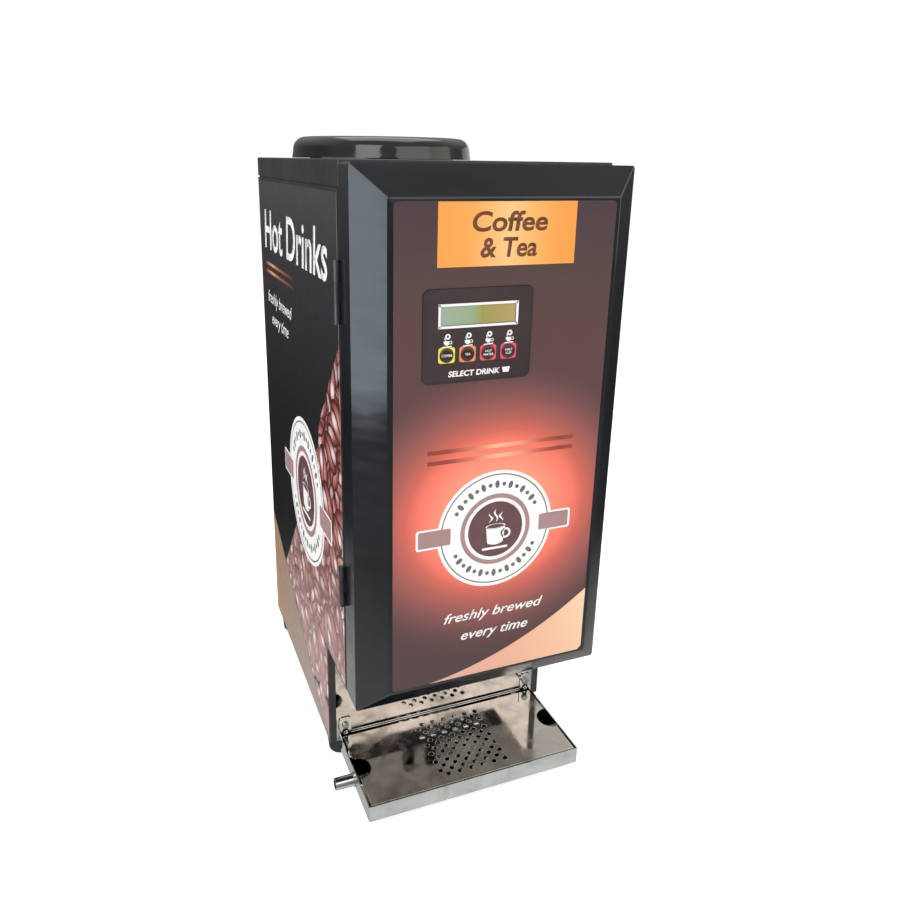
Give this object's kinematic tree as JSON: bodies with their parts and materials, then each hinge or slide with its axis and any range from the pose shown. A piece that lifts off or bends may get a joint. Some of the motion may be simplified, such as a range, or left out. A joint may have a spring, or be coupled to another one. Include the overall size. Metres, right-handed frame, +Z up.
{
  "type": "hot coffee vending machine",
  "caption": "Tall tabletop hot drinks dispenser with a printed hinged door, keypad and display, a cup bay with polished drip tray, and a round water tank lid.",
  "frame": {"origin": "on the table, under the middle of the machine's overall box", "axes": "+Z up, +Y from the door towards the back panel, +X to the customer's right"},
  "size_m": [0.2646, 0.4171, 0.642],
  "materials": {
    "black_enamel": "satin powder coat",
    "back_enamel": "satin powder coat",
    "zinc_sheet": "galvanised sheet",
    "printed_vinyl": "printed self-adhesive vinyl, semi gloss",
    "mirror_steel": "mirror-polished stainless sheet",
    "tank_steel": "satin stainless",
    "rubber": "moulded",
    "screw_steel": "zinc plated",
    "chrome": "plated",
    "gloss_black": "high gloss",
    "printed_sheet": "printed film under clear lacquer",
    "keypad_black": "gloss film",
    "lcd_glass": "display glass",
    "button_black": "gloss",
    "circuit_board": "solder-masked laminate",
    "brass": "machined",
    "float_plastic": "moulded",
    "silicone": "extruded silicone",
    "canister_plastic": "moulded, translucent",
    "lid_plastic": "moulded",
    "white_plastic": "moulded acetal",
    "motor_steel": "zinc plated can",
    "fan_plastic": "moulded"
  },
  "bodies": {
    "cabinet": {"auger_motors": "motor_steel", "back_panel": "back_enamel", "base_pan": "zinc_sheet", "bay_ceiling": "mirror_steel", "bulkhead": "zinc_sheet", "canister_left": "canister_plastic", "canister_right": "canister_plastic", "canister_shelf": "zinc_sheet", "control_board": "circuit_board", "fan_frame": "fan_plastic", "feet": "rubber", "heater_element": "tank_steel", "hinge_leaves_cabinet": "zinc_sheet", "hinge_pins": "screw_steel", "hoses": "silicone", "level_rod": "tank_steel", "lock_barrel": "chrome", "mixing_bowl_left": "canister_plastic", "mixing_bowl_right": "canister_plastic", "nozzle_block": "lid_plastic", "panel_screws": "screw_steel", "power_inlet": "fan_plastic", "power_supply": "motor_steel", "side_graphic_left": "printed_vinyl", "side_graphic_right": "printed_vinyl", "side_panel_left": "black_enamel", "side_panel_right": "black_enamel", "splash_panel": "mirror_steel", "tank_shelf": "zinc_sheet", "temperature_sensor": "brass", "top_cover": "black_enamel", "tray_hook_screws": "screw_steel", "water_tank": "tank_steel", "water_valves": "brass", "whipper_motors": "motor_steel"},
    "door": {"door_shell": "gloss_black", "door_liner": "zinc_sheet", "front_graphic": "printed_sheet", "keypad_bezel": "keypad_black", "lcd_module": "lcd_glass", "keypad_board": "circuit_board", "hinge_leaves_door": "zinc_sheet", "door_striker": "black_enamel"},
    "tray": {"tray_pan": "mirror_steel"},
    "tray_cover_plate": {"tray_cover": "mirror_steel"},
    "round_lid": {"tank_lid": "gloss_black"},
    "coffee_key": {"coffee_button": "button_black"},
    "tea_key": {"tea_button": "button_black"},
    "hot_water_key": {"hot_water_button": "button_black"},
    "half_cup_key": {"half_cup_button": "button_black"},
    "cam": {"lock_cam": "chrome"},
    "lid_left": {"canister_lid_left": "lid_plastic"},
    "screw_left": {"auger_left": "white_plastic"},
    "whisk_left": {"whipper_left": "white_plastic"},
    "lid_right": {"canister_lid_right": "lid_plastic"},
    "screw_right": {"auger_right": "white_plastic"},
    "whisk_right": {"whipper_right": "white_plastic"},
    "rotor": {"fan_rotor": "fan_plastic"},
    "switch_rocker": {"rocker": "fan_plastic"},
    "float_ring": {"level_float": "float_plastic"}
  },
  "joints": [
    {"name": "door_hinge", "type": "hinge", "parent": "cabinet", "child": "door", "pos_m": [-0.1281, -0.1563, 0.384], "axis": [0, 0, -1], "range_deg": [0, 110]},
    {"name": "tray_lift", "type": "slide", "parent": "cabinet", "child": "tray", "axis": [0, 0, 1], "range_m": [0, 0.008]},
    {"name": "tray_cover_lift", "type": "slide", "parent": "tray", "child": "tray_cover_plate", "axis": [0, 0, 1], "range_m": [0, 0.06]},
    {"name": "tank_lid_lift", "type": "slide", "parent": "cabinet", "child": "round_lid", "axis": [0, 0, 1], "range_m": [0, 0.08]},
    {"name": "lock_turn", "type": "hinge", "parent": "cabinet", "child": "cam", "pos_m": [0.112, -0.133, 0.335], "axis": [-1, 0, 0], "range_deg": [0, 90]},
    {"name": "fan_spin", "type": "hinge", "parent": "cabinet", "child": "rotor", "pos_m": [-0.06, 0.19, 0.23], "axis": [0, 1, 0], "continuous": true},
    {"name": "rocker_tilt", "type": "hinge", "parent": "cabinet", "child": "switch_rocker", "pos_m": [0.07, 0.2045, 0.095], "axis": [0, 0, -1], "range_deg": [0, 16]},
    {"name": "float_rise", "type": "slide", "parent": "cabinet", "child": "float_ring", "axis": [0, 0, 1], "range_m": [0, 0.19]},
    {"name": "coffee_press", "type": "slide", "parent": "door", "child": "coffee_key", "axis": [0, 1, 0], "range_m": [0, 0.0005], "stiffness_N_per_m": 500},
    {"name": "tea_press", "type": "slide", "parent": "door", "child": "tea_key", "axis": [0, 1, 0], "range_m": [0, 0.0005], "stiffness_N_per_m": 500},
    {"name": "hot_water_press", "type": "slide", "parent": "door", "child": "hot_water_key", "axis": [0, 1, 0], "range_m": [0, 0.0005], "stiffness_N_per_m": 500},
    {"name": "half_cup_press", "type": "slide", "parent": "door", "child": "half_cup_key", "axis": [0, 1, 0], "range_m": [0, 0.0005], "stiffness_N_per_m": 500},
    {"name": "canister_lid_left_lift", "type": "slide", "parent": "cabinet", "child": "lid_left", "axis": [0, 0, 1], "range_m": [0, 0.035]},
    {"name": "auger_left_spin", "type": "hinge", "parent": "cabinet", "child": "screw_left", "pos_m": [-0.06, -0.086, 0.393], "axis": [0, 1, 0], "continuous": true},
    {"name": "whipper_left_spin", "type": "hinge", "parent": "cabinet", "child": "whisk_left", "pos_m": [-0.06, -0.095, 0.25], "axis": [0, 1, 0], "continuous": true},
    {"name": "canister_lid_right_lift", "type": "slide", "parent": "cabinet", "child": "lid_right", "axis": [0, 0, 1], "range_m": [0, 0.035]},
    {"name": "auger_right_spin", "type": "hinge", "parent": "cabinet", "child": "screw_right", "pos_m": [0.06, -0.086, 0.393], "axis": [0, 1, 0], "continuous": true},
    {"name": "whipper_right_spin", "type": "hinge", "parent": "cabinet", "child": "whisk_right", "pos_m": [0.06, -0.095, 0.25], "axis": [0, 1, 0], "continuous": true}
  ]
}
